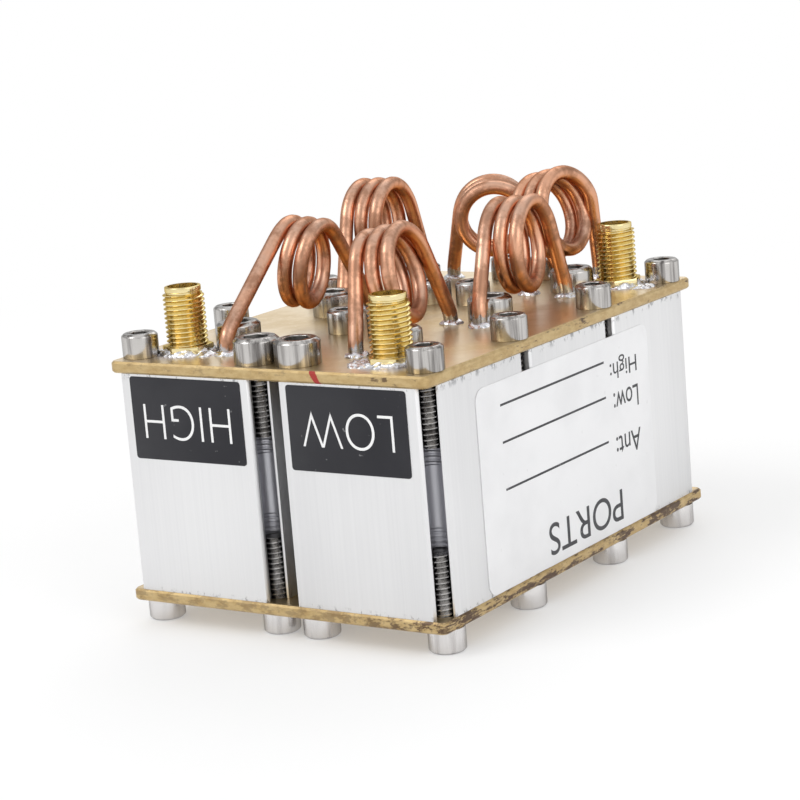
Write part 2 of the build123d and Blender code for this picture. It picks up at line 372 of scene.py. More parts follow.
@dataclass(frozen=True)
class Thread:
    """A screw thread: radius of its crest and root, its rise in one turn, and faces in one turn."""

    crest: float
    root: float
    pitch: float
    steps: int

    def rod(self, name: str, low: float, high: float) -> Piece:
        """Winds a closed threaded rod round the upright axis.

        Args:
            name: name of the rod.
            low: height of its lower end in millimetres.
            high: height of its upper end.

        Returns:
            The rod.
        """
        bpy.ops.object.select_all(action="DESELECT")
        bpy.ops.mesh.primitive_plane_add(size=MM)
        rod = added(name)
        corners = ((self.root, 0.0), (self.crest, 0.42), (self.crest, 0.58), (self.root, 1.0))
        for vertex, (radius, share) in zip(rod.data.vertices, corners):
            vertex.co = (radius * MM, 0.0, (low - self.pitch + share * self.pitch) * MM)
        with editing(rod):
            bpy.ops.mesh.delete(type="EDGE_FACE")
        for i in range(len(corners) - 1):
            with editing(rod, "VERT", lambda vertex: vertex.index in (i, i + 1)):
                bpy.ops.mesh.edge_face_add()
        merge = 0.01 * MM
        apply_modifier(
            rod, "SCREW", angle=2 * math.pi, steps=self.steps, render_steps=self.steps,
            iterations=math.ceil((high - low) / self.pitch) + 2, screw_offset=self.pitch * MM, axis="Z",
            use_merge_vertices=True, merge_threshold=merge,
        )
        with editing(rod):
            bpy.ops.mesh.remove_doubles(threshold=merge)
            cut_level(low, False)
            cut_level(high, True)
            face_outwards()
        return rod


# Shader building


class Board:
    """A node tree that nodes are added to and joined in."""

    def __init__(self, tree: bpy.types.NodeTree) -> None:
        """Keeps the tree."""
        self.tree = tree

    def add(self, kind: str, values: dict[str | int, object] | None = None, **settings: object) -> Node:
        """Adds a node.

        Args:
            kind: the node's type name.
            values: inputs, by name or number, with a value or with a socket that feeds them.
            settings: settings of the node itself.

        Returns:
            The new node.
        """
        node = self.tree.nodes.new(kind)
        for key, value in settings.items():
            setattr(node, key, value)
        for key, value in (values or {}).items():
            self.feed(node.inputs[key], value)
        return node

    def feed(self, target: Socket, value: object) -> None:
        """Joins a socket to an input, or sets the input's value.

        Args:
            target: the input.
            value: a socket, number or tuple.
        """
        if isinstance(value, Socket):
            self.tree.links.new(value, target)
        elif target.type == "RGBA":
            target.default_value = (*value, 1.0)
        else:
            target.default_value = value

    def maths(self, operation: str, *values: object) -> Socket:
        """Works one number out of others."""
        return self.add("ShaderNodeMath", dict(enumerate(values)), operation=operation).outputs[0]

    def times(self, first: object, second: object) -> Socket:
        """Multiplies two numbers."""
        return self.maths("MULTIPLY", first, second)

    def blend(self, share: object, first: object, second: object) -> Socket:
        """Mixes two colours, by the share of the second."""
        return self.add("ShaderNodeMix", {0: share, 6: first, 7: second}, data_type="RGBA").outputs[2]

    def between(self, value: object, low: float, high: float, start: float = 0.0, end: float = 1.0) -> Socket:
        """Turns the range from low to high into that from start to end, smoothly and clamped."""
        values = {"Value": value, "From Min": low, "From Max": high, "To Min": start, "To Max": end}
        return self.add("ShaderNodeMapRange", values, interpolation_type="SMOOTHSTEP").outputs[0]


def patch_group() -> bpy.types.NodeTree:
    """Patches, streaks or specks from stretched noise, as a mask that every finish uses.

    Returns:
        The node group, built once.
    """
    name = "worn_patches"
    if name in bpy.data.node_groups:
        return bpy.data.node_groups[name]
    tree = bpy.data.node_groups.new(name, "ShaderNodeTree")
    inputs = {"Place": "Vector", "Fineness": "Vector", "Low": "Float", "High": "Float", "Raggedness": "Float"}
    for label, kind in inputs.items():
        tree.interface.new_socket(name=label, in_out="INPUT", socket_type=f"NodeSocket{kind}")
    tree.interface.new_socket(name="Mask", in_out="OUTPUT", socket_type="NodeSocketFloat")
    board = Board(tree)
    place, fineness, low, high, ragged = list(board.add("NodeGroupInput").outputs)[:len(inputs)]
    spread = board.add("ShaderNodeVectorMath", {0: place, 1: fineness}, operation="MULTIPLY").outputs[0]
    grain = {"Vector": spread, "Scale": 1.0, "Detail": 4.0, "Roughness": ragged}
    noise = board.add("ShaderNodeTexNoise", grain).outputs[0]
    board.add("NodeGroupOutput", {"Mask": board.between(noise, low, high)})
    return tree


@dataclass(frozen=True)
class Patch:
    """Patches in a finish: how many to a metre, noise where they start and are full, and raggedness."""

    fineness: float | Triple
    low: float
    high: float
    ragged: float = 0.5


class Surface(Board):
    """The board of a new material, with its surface shader and object coordinates."""

    def __init__(self, name: str) -> None:
        """Opens the material.

        Args:
            name: the material's name.
        """
        self.material = bpy.data.materials.new(name)
        self.material.use_nodes = True
        super().__init__(self.material.node_tree)
        self.shader = self.tree.nodes["Principled BSDF"]
        self.place = self.add("ShaderNodeTexCoord").outputs["Object"]

    @cached_property
    def axes(self) -> list[Socket]:
        """The coordinates split into X, Y and Z."""
        return list(self.add("ShaderNodeSeparateXYZ", {"Vector": self.place}).outputs)

    def patches(self, patch: Patch) -> Socket:
        """Places the shared patch effect.

        Args:
            patch: the patches' numbers.

        Returns:
            The mask.
        """
        even = isinstance(patch.fineness, float)
        values = {
            "Place": self.place, "Fineness": (patch.fineness,) * 3 if even else patch.fineness,
            "Low": patch.low, "High": patch.high, "Raggedness": patch.ragged,
        }
        return self.add("ShaderNodeGroup", values, node_tree=patch_group()).outputs["Mask"]

    def give(self, values: dict[str, object]) -> None:
        """Sets or feeds inputs of the surface shader."""
        for name, value in values.items():
            self.feed(self.shader.inputs[name], value)

    def relief(self, height: Socket, depth: float) -> None:
        """Feeds a height from 0 to 1, and its depth in millimetres, into the shader's normal."""
        bump = self.add("ShaderNodeBump", {"Height": height, "Distance": depth * MM, "Strength": 1.0})
        self.give({"Normal": bump.outputs[0]})


# Finishes


class Finish:
    """Base of every finish."""

    name: str

    def material(self) -> Material:
        """Builds the material.

        Returns:
            The material.
        """
        board = Surface(self.name)
        self.paint(board)
        return board.material

    def paint(self, board: Surface) -> None:
        """Lays the finish on the board of its material."""
        raise NotImplementedError


@dataclass(frozen=True)
class MetalFinish(Finish):
    """Plain metal with dull patches and fine lines; in the nickel plating the dull patches are painted dark
    reflection bands.
    """

    name: str
    clean: Colour
    dull: Colour
    patch: float | Triple
    dull_from: float
    lines: float | Triple
    line_depth: float
    smoothest: float
    roughest: float
    rim: Colour = (1.0, 1.0, 1.0)

    def paint(self, board: Surface) -> None:
        """Lays the metal on.

        Args:
            board: the material's board.
        """
        # Dull patches; on the nickel plating these are painted dark reflection bands.
        dull_and_dark_reflection = board.patches(Patch(self.patch, self.dull_from, self.dull_from + 0.3, 0.6))
        lines = board.patches(Patch(self.lines, 0.3, 0.7, 0.65))
        spread = self.roughest - self.smoothest
        rough = board.maths("MULTIPLY_ADD", dull_and_dark_reflection, spread * 0.6, self.smoothest)
        board.give({
            "Base Color": board.blend(dull_and_dark_reflection, self.clean, self.dull), "Metallic": 1.0,
            "Specular Tint": self.rim, "Roughness": board.maths("MULTIPLY_ADD", lines, spread * 0.4, rough),
        })
        board.relief(lines, self.line_depth)


class Metal(Enum):
    """The plain metal finishes."""

    # Nickel plating: its near-black dull colour, in patches stretched upright, is painted reflection of dark
    # surroundings on the heads' sides.
    NICKEL = MetalFinish(
        "screw_plating", (0.59, 0.57, 0.55), (0.13, 0.12, 0.115), (860.0, 860.0, 40.0), 0.41,
        (1500.0, 1500.0, 60.0), 0.012, 0.15, 0.34, (0.6, 0.6, 0.6),
    )
    PALE_NICKEL = MetalFinish(
        "lower_screw_plating", (0.72, 0.70, 0.69), (0.52, 0.50, 0.49), (600.0, 600.0, 60.0), 0.46,
        (1500.0, 1500.0, 90.0), 0.006, 0.2, 0.36, (0.5, 0.5, 0.5),
    )
    # Painted shade: near-black metal laid inside the hex sockets.
    RECESS = MetalFinish(
        "painted_socket_shade", (0.10, 0.095, 0.09), (0.05, 0.045, 0.04), 700.0, 0.4, 1500.0, 0.01, 0.4, 0.7,
    )
    THREAD = MetalFinish(
        "screw_thread", (0.50, 0.49, 0.48), (0.20, 0.19, 0.185), (500.0, 500.0, 300.0), 0.42,
        900.0, 0.002, 0.18, 0.34, (0.5, 0.5, 0.5),
    )
    GOLD = MetalFinish(
        "jack_gold", (0.88, 0.75, 0.42), (0.70, 0.55, 0.26), 260.0, 0.46,
        1800.0, 0.004, 0.13, 0.30, (0.6, 0.5, 0.3),
    )
    SOLDER = MetalFinish(
        "solder", (0.74, 0.74, 0.77), (0.46, 0.45, 0.48), 500.0, 0.5, 1100.0, 0.05, 0.16, 0.42,
    )
    TURNED_BRASS = MetalFinish(
        "turned_brass", (0.72, 0.54, 0.27), (0.50, 0.34, 0.15), 300.0, 0.45,
        (300.0, 300.0, 5200.0), 0.01, 0.18, 0.38,
    )

    def material(self) -> Material:
        """Builds the metal's material."""
        return self.value.material()


@dataclass(frozen=True)
class PlateFinish(Finish):
    """Brass sheet: glossy and speckled on its faces, stained along its edges, grey round the solder."""

    name: str
    solder_places: tuple[Pair, ...] = ()
    paint_x: float | None = None
    stain_from: float = 0.56
    bright: Colour = (0.76, 0.60, 0.36)
    dull: Colour = (0.58, 0.42, 0.19)
    speck: Colour = (0.85, 0.74, 0.5)
    edge_bright: Colour = (0.62, 0.47, 0.24)
    edge_dull: Colour = (0.50, 0.35, 0.155)
    stain: Colour = (0.13, 0.08, 0.05)
    flux: Colour = (0.60, 0.56, 0.57)
    red: Colour = (0.36, 0.022, 0.016)
    clouds: Patch = Patch(70.0, 0.35, 0.7, 0.6)
    specks: Patch = Patch((1500.0, 1500.0, 900.0), 0.60, 0.68)
    filing: Patch = Patch((420.0, 420.0, 900.0), 0.35, 0.70, 0.75)
    dents: Patch = Patch(240.0, 0.3, 0.75, 0.55)
    flux_rim: Patch = Patch(330.0, 0.34, 0.56, 0.7)
    waver: Patch = Patch(900.0, 0.2, 0.8)
    flux_reach: float = 8.0
    stroke_lean: float = 0.55

    def fluxed(self, board: Surface) -> Socket:
        """Marks the ragged grey rings round the soldered jacks.

        Args:
            board: the material's board.

        Returns:
            One at the jacks and nothing elsewhere.
        """
        x, y, _ = board.axes
        flat = board.add("ShaderNodeCombineXYZ", {"X": x, "Y": y}).outputs[0]
        near: object = 0.0
        for centre_x, centre_y in self.solder_places:
            centre = (centre_x * MM, centre_y * MM, 0.0)
            apart = board.add("ShaderNodeVectorMath", {0: flat, 1: centre}, operation="DISTANCE").outputs[1]
            ring = board.between(apart, self.flux_reach * MM, self.flux_reach * 0.55 * MM)
            near = board.maths("MAXIMUM", near, ring)
        return board.times(near, board.patches(self.flux_rim))

    def stroke(self, board: Surface) -> Socket:
        """Marks the leaning stroke of paint on the front edge.

        Args:
            board: the material's board.

        Returns:
            One on the stroke and nothing elsewhere.
        """
        x, y, z = board.axes
        lean = board.maths("MULTIPLY_ADD", z, self.stroke_lean, x)
        lean = board.maths("ADD", lean, board.times(board.patches(self.waver), 0.25 * MM))
        axis = (self.paint_x + self.stroke_lean * (LEVELS.deck - 0.9)) * MM
        off_axis = board.maths("ABSOLUTE", board.maths("SUBTRACT", lean, axis))
        across = board.between(off_axis, 0.62 * MM, 0.48 * MM)
        front = board.between(y, -(LEVELS.half_length - 0.55) * MM, -(LEVELS.half_length - 0.4) * MM)
        return board.times(across, front)

    def paint(self, board: Surface) -> None:
        """Lays the brass on.

        Args:
            board: the material's board.
        """
        x, y, _ = board.axes
        cloud = board.patches(self.clouds)
        specks = board.patches(self.specks)
        colour = board.blend(cloud, self.bright, self.dull)
        colour = board.blend(board.times(specks, 0.35), colour, self.speck)
        rims = []
        for along, half in ((x, LEVELS.half_width), (y, LEVELS.half_length)):
            rims.append(board.between(board.maths("ABSOLUTE", along), (half - 0.9) * MM, (half - 0.1) * MM))
        edge = board.maths("MAXIMUM", *rims)
        filed = board.blend(board.patches(self.filing), self.edge_bright, self.edge_dull)
        colour = board.blend(edge, colour, filed)
        blots = board.patches(Patch((330.0, 170.0, 700.0), self.stain_from, self.stain_from + 0.11, 0.75))
        handled = board.between(x, 5.0 * MM, LEVELS.half_width * MM, 0.35, 1.0)
        colour = board.blend(board.times(board.times(edge, blots), handled), colour, self.stain)
        rough = board.between(cloud, 0.0, 1.0, 0.30, 0.42)
        metallic: object = 1.0
        if self.solder_places:
            fluxed = self.fluxed(board)
            colour = board.blend(board.times(fluxed, 0.85), colour, self.flux)
            rough = board.maths("ADD", rough, board.times(fluxed, 0.12))
        if self.paint_x is not None:
            stroke = self.stroke(board)
            colour = board.blend(stroke, colour, self.red)
            rough = board.maths("ADD", rough, board.times(stroke, 0.3))
            metallic = board.maths("SUBTRACT", 1.0, stroke)
        board.give({
            "Base Color": colour, "Metallic": metallic, "Coat Weight": 0.35, "Coat Roughness": 0.22,
            "Roughness": board.maths("ADD", rough, board.times(edge, 0.20)),
        })
        dented = board.times(board.patches(self.dents), board.maths("MULTIPLY_ADD", edge, 1.6, 0.5))
        board.relief(board.maths("ADD", board.times(specks, 0.12), dented), 0.03)


@dataclass(frozen=True)
class WireFinish(Finish):
    """Copper wire, browned here and there, paler in patches where it faces up, with a painted warm glow where
    it faces down, and tinned feet.
    """

    name: str = "copper_wire"
    fresh: Colour = (0.77, 0.41, 0.26)
    painted_underside_glow: Colour = (0.66, 0.26, 0.09)
    brown: Colour = (0.33, 0.165, 0.10)
    pale_topside: Colour = (0.62, 0.44, 0.35)
    rim: Colour = (0.62, 0.44, 0.36)
    tin: Colour = (0.50, 0.49, 0.50)
    browning: Patch = Patch(210.0, 0.42, 0.62, 0.7)
    topside_patches: Patch = Patch(90.0, 0.30, 0.62, 0.6)
    grain: Patch = Patch(1500.0, 0.3, 0.75, 0.7)
    tin_line: Patch = Patch((500.0, 500.0, 300.0), 0.3, 0.7, 0.7)

    def paint(self, board: Surface) -> None:
        """Lays the copper on.

        Args:
            board: the material's board.
        """
        z = board.axes[2]
        normal = board.add("ShaderNodeTexCoord").outputs["Normal"]
        facing = board.add("ShaderNodeSeparateXYZ", {"Vector": normal}).outputs[2]
        browned = board.patches(self.browning)
        # Painted reflection: surfaces facing down are tinted a deeper orange, as if lit by warm light bounced
        # up from below.
        colour = board.blend(board.between(facing, 0.1, -0.8), self.fresh, self.painted_underside_glow)
        # Paler, less saturated patches where the wire faces up.
        topside_share = board.times(board.between(facing, -0.1, 0.9), board.patches(self.topside_patches))
        colour = board.blend(board.times(topside_share, 0.85), colour, self.pale_topside)
        colour = board.blend(board.times(browned, 0.7), colour, self.brown)
        height = board.maths("SUBTRACT", z, board.times(board.patches(self.tin_line), 1.7 * MM))
        foot = board.between(height, (LEVELS.deck + 1.1) * MM, (LEVELS.deck + 0.5) * MM)
        rough = board.between(browned, 0.0, 1.0, 0.30, 0.44)
        rough = board.maths("ADD", rough, board.times(topside_share, 0.08))
        board.give({
            "Base Color": board.blend(foot, colour, self.tin), "Metallic": 1.0, "Specular Tint": self.rim,
            "Roughness": board.maths("SUBTRACT", rough, board.times(foot, 0.12)),
        })
        board.relief(board.patches(self.grain), 0.012)


@dataclass(frozen=True)
class FilmFinish(Finish):
    """Printed or plain label film."""

    name: str
    colour: Colour
    faded: Colour
    roughness: float
    gloss: float = 0.5
    speck: Colour = (0.6, 0.6, 0.6)
    fading: Patch = Patch(90.0, 0.35, 0.7)
    specks: Patch = Patch(900.0, 0.69, 0.73)
    ripple: Patch = Patch(160.0, 0.2, 0.8)

    def paint(self, board: Surface) -> None:
        """Lays the film on.

        Args:
            board: the material's board.
        """
        colour = board.blend(board.patches(self.fading), self.colour, self.faded)
        board.give({
            "Base Color": board.blend(board.times(board.patches(self.specks), 0.25), colour, self.speck),
            "Roughness": self.roughness, "Specular IOR Level": self.gloss,
        })
        board.relief(board.patches(self.ripple), 0.02)


@dataclass(frozen=True)
class BlockFinish(Finish):
    """Extruded aluminium: fine upright drawing lines, scuffs with painted shade under the plates, painted shade
    on the screw channels' walls.
    """

    name: str = "block_aluminium"
    bright: Colour = (0.83, 0.83, 0.835)
    drawn: Colour = (0.74, 0.74, 0.75)
    # Painted shade: a darker bluish grey laid on the channel walls.
    painted_channel_shade: Colour = (0.56, 0.56, 0.595)
    # Scuffs and painted shade: dark specks along the block's top and bottom edges, where the plates meet it.
    scuff_and_shade: Colour = (0.30, 0.30, 0.31)
    clouds: Patch = Patch((50.0, 50.0, 14.0), 0.35, 0.72, 0.55)
    lines: Patch = Patch((1900.0, 1900.0, 11.0), 0.30, 0.72, 0.7)
    scuff_and_shade_specks: Patch = Patch((800.0, 800.0, 500.0), 0.52, 0.62, 0.75)

    def channel_shade_mask(self, board: Surface) -> Socket:
        """Marks the walls of the screw channels, where painted shade goes, folding the layout onto one quarter
        of one block.

        Args:
            board: the material's board.

        Returns:
            One in a channel and nothing elsewhere.
        """
        x, y, _ = board.axes
        middle_row = (LAYOUT.rows[2] + LAYOUT.rows[3]) / 2
        folds = ((x, LAYOUT.block_centre, LAYOUT.channel_column), (y, middle_row, LAYOUT.rows[3] - middle_row))
        squares = []
        for along, centre, offset in folds:
            folded = board.maths("SUBTRACT", board.maths("ABSOLUTE", along), centre * MM)
            folded = board.maths("SUBTRACT", board.maths("ABSOLUTE", folded), offset * MM)
            squares.append(board.times(folded, folded))
        away = board.maths("SQRT", board.maths("ADD", *squares))
        return board.between(away, (LAYOUT.channel_radius + 0.16) * MM, (LAYOUT.channel_radius + 0.06) * MM)

    def paint(self, board: Surface) -> None:
        """Lays the aluminium on.

        Args:
            board: the material's board.
        """
        z = board.axes[2]
        cloud = board.patches(self.clouds)
        lines = board.patches(self.lines)
        drawn = board.maths("MULTIPLY_ADD", lines, 0.35, board.times(cloud, 0.5))
        colour = board.blend(drawn, self.bright, self.drawn)
        # Dark specks near the top and bottom edges, under the plates: partly scuffs, partly painted shade.
        low = board.between(z, (LEVELS.bottom + 0.9) * MM, (LEVELS.bottom + 0.1) * MM)
        high = board.between(z, (LEVELS.top - 1.3) * MM, (LEVELS.top - 0.1) * MM)
        scuffed_and_shaded = board.times(board.maths("MAXIMUM", low, high), board.patches(self.scuff_and_shade_specks))
        colour = board.blend(board.times(scuffed_and_shaded, 0.8), colour, self.scuff_and_shade)
        board.give({
            # The channel walls get the painted shade colour.
            "Base Color": board.blend(self.channel_shade_mask(board), colour, self.painted_channel_shade),
            "Metallic": 1.0, "Roughness": board.between(cloud, 0.0, 1.0, 0.38, 0.50),
        })
        board.relief(board.maths("SUBTRACT", lines, board.times(scuffed_and_shaded, 4.0)), 0.004)


@dataclass(frozen=True)
class InsulatorFinish(Finish):
    """Milky white insulator."""

    name: str = "jack_insulator_white"
    clear: Colour = (0.86, 0.85, 0.80)
    cloudy: Colour = (0.78, 0.76, 0.70)
    clouds: Patch = Patch(400.0, 0.3, 0.7)

    def paint(self, board: Surface) -> None:
        """Lays the insulator's white on."""
        colour = board.blend(board.patches(self.clouds), self.clear, self.cloudy)
        board.give({"Base Color": colour, "Roughness": 0.45})


# Sub-assemblies, with sizes in millimetres


@dataclass
class Body:
    """Plates, resonator posts and the tuners underneath, which keep the solids' shape."""

    plate_edge: float = 0.16
    tuner_edge: float = 0.08
    nut_edge: float = 0.15
    paint_x: float = 9.8
    lower_stain_from: float = 0.47

    def build(self) -> None:
        """Dresses the CAD nodes that keep their shape."""
        jacks = tuple((x, y) for _, x, y in LAYOUT.jacks)
        turned = Metal.TURNED_BRASS.material()
        dress("top_plate", PlateFinish("top_plate_brass", jacks, self.paint_x).material(), self.plate_edge)
        lower = PlateFinish("bottom_plate_brass", stain_from=self.lower_stain_from)
        dress("bottom_plate", lower.material(), self.plate_edge)
        for _, side in SIDES:
            for row in ("front", "middle", "rear"):
                dress(f"{side}_{row}_tuning_screw", turned, self.tuner_edge)
                dress(f"{side}_{row}_tuning_disc", turned, self.tuner_edge)
                dress(f"{side}_{row}_resonator", turned)
        dress("lock_nuts", turned, self.nut_edge)


@dataclass
class Blocks:
    """The two extruded blocks: bores, and screw channels tapped from both ends and open at the skin."""

    width: float = 27.4
    length: float = 80.0
    bore_radius: float = 11.0
    channel_radius: float = 1.8
    mouth_width: float = 2.4
    mouth_heading: float = 57.0
    mouth_reach: float = 7.5
    corner_lip: float = 0.65
    side_lip: float = 0.35
    broken_edge: float = 0.11
    tap: Thread = Thread(1.98, 1.70, 0.794, 20)
    tap_depth: float = 12.4
    margin: float = 1.0

    def mouth(self, x: float, y: float) -> Piece:
        """Models the slot that opens one channel.

        Args:
            x: place of the channel, from the block's own axis.
            y: place of the channel along the block.

        Returns:
            The slot as a cutter.
        """
        corner = abs(y) == LAYOUT.rows[3]
        heading = math.radians(self.mouth_heading if corner else 0.0)
        outward = Vector((math.copysign(math.cos(heading), x), math.copysign(math.sin(heading), y), 0.0))
        middle = Vector((x, y, (LEVELS.bottom + LEVELS.top) / 2)) + outward * self.mouth_reach / 2
        size = Vector((self.mouth_reach, self.mouth_width, LEVELS.block + 2 * self.margin))
        return box("mouth", middle * MM, size * MM, math.atan2(outward.y, outward.x))

    def on_lip(self, piece: Piece, edge: bpy.types.MeshEdge, corner: bool) -> bool:
        """Tells whether an edge is where a mouth meets the skin.

        Args:
            piece: the block.
            edge: one of its edges.
            corner: whether corner mouths or those of the sides are asked for.

        Returns:
            True if it is.
        """
        start, end = (piece.data.vertices[number].co / MM for number in edge.vertices)
        upright = abs(start.z - end.z) > LEVELS.block / 2
        skin = min(abs(abs(start.x) - self.width / 2), abs(abs(start.y) - self.length / 2)) < 0.01
        return upright and skin and (abs(start.y) > LAYOUT.bore_pitch) == corner

    def block(self) -> Piece:
        """Models one block on the upright axis.

        Returns:
            The block.
        """
        low, high = LEVELS.bottom - self.margin, LEVELS.top + self.margin
        middle = Vector((0.0, 0.0, (low + high) / 2))
        piece = box("block", middle * MM, Vector((self.width, self.length, LEVELS.block)) * MM)
        spots = [(side * LAYOUT.channel_column, row) for side in (-1, 1) for row in LAYOUT.rows]
        holes = [cylinder("hole", self.channel_radius, low, high, 32, spot) for spot in spots]
        for row in (-1, 0, 1):
            holes.append(cylinder("hole", self.bore_radius, low, high, 64, (0.0, row * LAYOUT.bore_pitch)))
        cut_away(piece, join(holes, "holes"))
        cut_away(piece, join([self.mouth(*spot) for spot in spots], "mouths"))
        for width, corner in ((self.corner_lip, True), (self.side_lip, False)):
            with editing(piece, "EDGE", lambda edge: self.on_lip(piece, edge, corner)):
                bpy.ops.mesh.bevel(offset=width * MM)
        apply_modifier(piece, "BEVEL", **rounding(self.broken_edge))
        for start, end in ((low, LEVELS.bottom + self.tap_depth), (LEVELS.top - self.tap_depth, high)):
            tap = self.tap.rod("tap", start, end)
            cut_away(piece, copies(tap, [shift(*spot, 0.0) for spot in spots], "taps"))
            discard(tap)
        smooth(piece, 30.0)
        return piece

    def build(self) -> None:
        """Sets both blocks in place."""
        model = self.block()
        finish = BlockFinish().material()
        for side, name in SIDES:
            block = copies(model, [shift(side * LAYOUT.block_centre, 0.0, 0.0)], f"{name}_extrusion")
            settle(block, finish, "block", f"{name}_block")
        discard(model)


@dataclass(frozen=True)
class Head:
    """Sizes of a cap screw's head: radius, height, hexagon socket and the rounding of its upper rim."""

    radius: float
    height: float
    across_flats: float
    rim: float


@dataclass
class CapScrews:
    """Socket head cap screws with wound threads."""

    narrow: Head = Head(2.8, 3.7, 2.6, 0.42)
    wide: Head = Head(3.5, 3.9, 3.6, 0.55)
    lower: Head = Head(2.8, 3.7, 2.8, 0.42)
    thread: Thread = Thread(1.75, 1.33, 0.794, 24)
    length: float = 11.1
    sides: int = 56
    rim_line: float = 0.12
    broken_edge: float = 0.11
    socket_depth: float = 1.9
    first_turn: float = 11.0
    next_turn: float = 23.0

    def screw(self, head: Head, finishes: tuple[Material, Material, Material]) -> Piece:
        """Models one screw with the underside of its head at the origin, pointing down.

        Args:
            head: sizes of its head.
            finishes: the plating, the painted shade of the hex socket and the thread.

        Returns:
            The screw.
        """
        piece = cylinder("head", head.radius, 0.0, head.height, self.sides)
        with editing(piece, "FACE", lambda face: face.normal.z > 0.9):
            bpy.ops.mesh.inset(thickness=head.rim * MM)
            bpy.ops.mesh.inset(thickness=self.rim_line * MM)
        for vertex in piece.data.vertices:
            reach = math.hypot(vertex.co.x, vertex.co.y) / MM
            if vertex.co.z > (head.height - 0.01) * MM and reach > head.radius - 0.01:
                vertex.co.z -= head.rim * 0.9 * MM
        hexagon = head.across_flats / math.sqrt(3)
        cut_away(piece, cylinder("socket", hexagon, head.height - self.socket_depth, head.height + 1.0, 6))
        apply_modifier(piece, "BEVEL", **rounding(self.broken_edge, 2, 25.0))
        plating, socket_shade, thread = finishes
        piece.data.materials.append(plating)
        piece.data.materials.append(socket_shade)
        # Faces inside the hex socket get the painted shade.
        for face in piece.data.polygons:
            inward = math.hypot(face.center.x, face.center.y) < hexagon * MM
            face.material_index = int(inward and 0.1 * MM < face.center.z < (head.height - 0.15) * MM)
        shank = self.thread.rod("shank", -self.length, 0.05)
        shank.data.materials.append(thread)
        screw = join([piece, shank], "cap_screw")
        smooth(screw, 40.0)
        return screw

    def build(self) -> None:
        """Sets every cap screw in place of its solid."""
        wide = LAYOUT.wide()
        narrow = [place for place in LAYOUT.channels() if place not in wide]
        plating, pale, socket_shade, thread = (
            metal.material() for metal in (Metal.NICKEL, Metal.PALE_NICKEL, Metal.RECESS, Metal.THREAD)
        )
        groups = (
            ("narrow_cap_screws", "top_screws", narrow, self.narrow, plating),
            ("wide_cap_screws", "wide_top_screws", wide, self.wide, plating),
            ("lower_cap_screws", "bottom_screws", LAYOUT.channels(), self.lower, pale),
        )
        for name, node, places, head, finish in groups:
            model = self.screw(head, (finish, socket_shade, thread))
            upside_down = head is self.lower
            height, flip = (LEVELS.head, turn(180.0, "X")) if upside_down else (LEVELS.deck, Matrix.Identity(4))
            spots = []
            for count, place in enumerate(places):
                spots.append(shift(*place, height) @ turn(self.next_turn * count + self.first_turn, "Z") @ flip)
            settle(copies(model, spots, name), None, "cap_screw", node)
            discard(model)


@dataclass
class Jacks:
    """Threaded coaxial jacks with their inner parts."""

    thread: Thread = Thread(3.175, 2.72, 0.7056, 40)
    height: float = 10.3
    sides: int = 48
    groove: float = 0.28
    collar_radius: float = 2.78
    collar_height: float = 0.85
    collar_edge: float = 0.14
    base_height: float = 1.3
    base_across_flats: float = 6.9
    base_edge: float = 0.15
    mouth_radius: float = 2.3
    bore_radius: float = 2.05
    mouth_depth: float = 3.6
    overlap: float = 0.1
    next_turn: float = 40.0

    def shell(self) -> Piece:
        """Models one shell standing on the origin.

        Returns:
            The shell.
        """
        top = self.height - self.collar_height
        neck_low = top - self.groove - self.overlap
        barrel = self.thread.rod("barrel", self.base_height - self.overlap, top - self.groove)
        neck = cylinder("neck", self.thread.root - 0.1, neck_low, top + self.overlap, self.sides)
        collar = cylinder("collar", self.collar_radius, top, self.height, self.sides)
        apply_modifier(collar, "BEVEL", **rounding(self.collar_edge, 3))
        base = cylinder("base", self.base_across_flats / math.sqrt(3), 0.0, self.base_height, 6)
        apply_modifier(base, "BEVEL", **rounding(self.base_edge))
        parts = [barrel, neck, collar, base]
        for part in parts:
            cut_away(part, cylinder("bore", self.bore_radius, -1.0, self.height + 1.0, self.sides))
        mouth_low = self.height - self.mouth_depth
        cut_away(collar, cylinder("mouth", self.mouth_radius, mouth_low, self.height + 1.0, self.sides))
        shell = join(parts, "jack")
        smooth(shell, 40.0)
        return shell

    def build(self) -> None:
        """Sets the shells in place and dresses the insulators and contacts."""
        model = self.shell()
        gold, white = Metal.GOLD.material(), InsulatorFinish().material()
        for count, (name, x, y) in enumerate(LAYOUT.jacks):
            place = shift(x, y, LEVELS.deck) @ turn(self.next_turn * count, "Z")
            shell = copies(model, [place], f"{name}_jack_barrel")
            settle(shell, gold, "jack_shell", f"{name}_jack_shell")
            dress(f"{name}_jack_insulator", white)
            dress(f"{name}_jack_contact", gold)
        discard(model)


@dataclass(frozen=True)
class Winding:
    """One coil: feet, heights of their bends, centre above the deck, heading, lean and radius."""

    name: str
    first_foot: Pair
    first_height: float
    last_foot: Pair
    last_height: float
    centre: Triple
    heading: float
    lean: float
    radius: float


WINDINGS = (
    Winding("high_input_coil", (-12.3, -32.0), 2.8, (-11.0, 4.8), 1.6, (-12.2, -10.5, 10.4), 12.0, -7.0, 6.1),
    Winding("high_output_coil", (-18.2, 7.5), 1.6, (-17.0, 31.6), 1.6, (-18.2, 19.8, 11.9), 10.0, 1.0, 6.35),
    Winding("low_input_coil", (9.6, -29.3), 1.6, (9.9, -3.8), 1.6, (10.0, -18.3, 10.2), 12.0, 12.0, 6.6),
    Winding("low_output_coil", (16.0, -5.2), 2.8, (16.5, 20.4), 1.6, (16.0, 7.8, 10.6), 11.0, 3.0, 6.6),
    Winding("high_link_coil", (-13.5, 34.0), 1.6, (8.3, 33.5), 1.6, (-2.2, 30.2, 11.4), -57.0, -6.0, 5.5),
    Winding("low_link_coil", (9.0, 21.3), 1.6, (13.2, 37.5), 1.6, (11.2, 28.0, 12.3), -6.0, 13.0, 6.25),
)


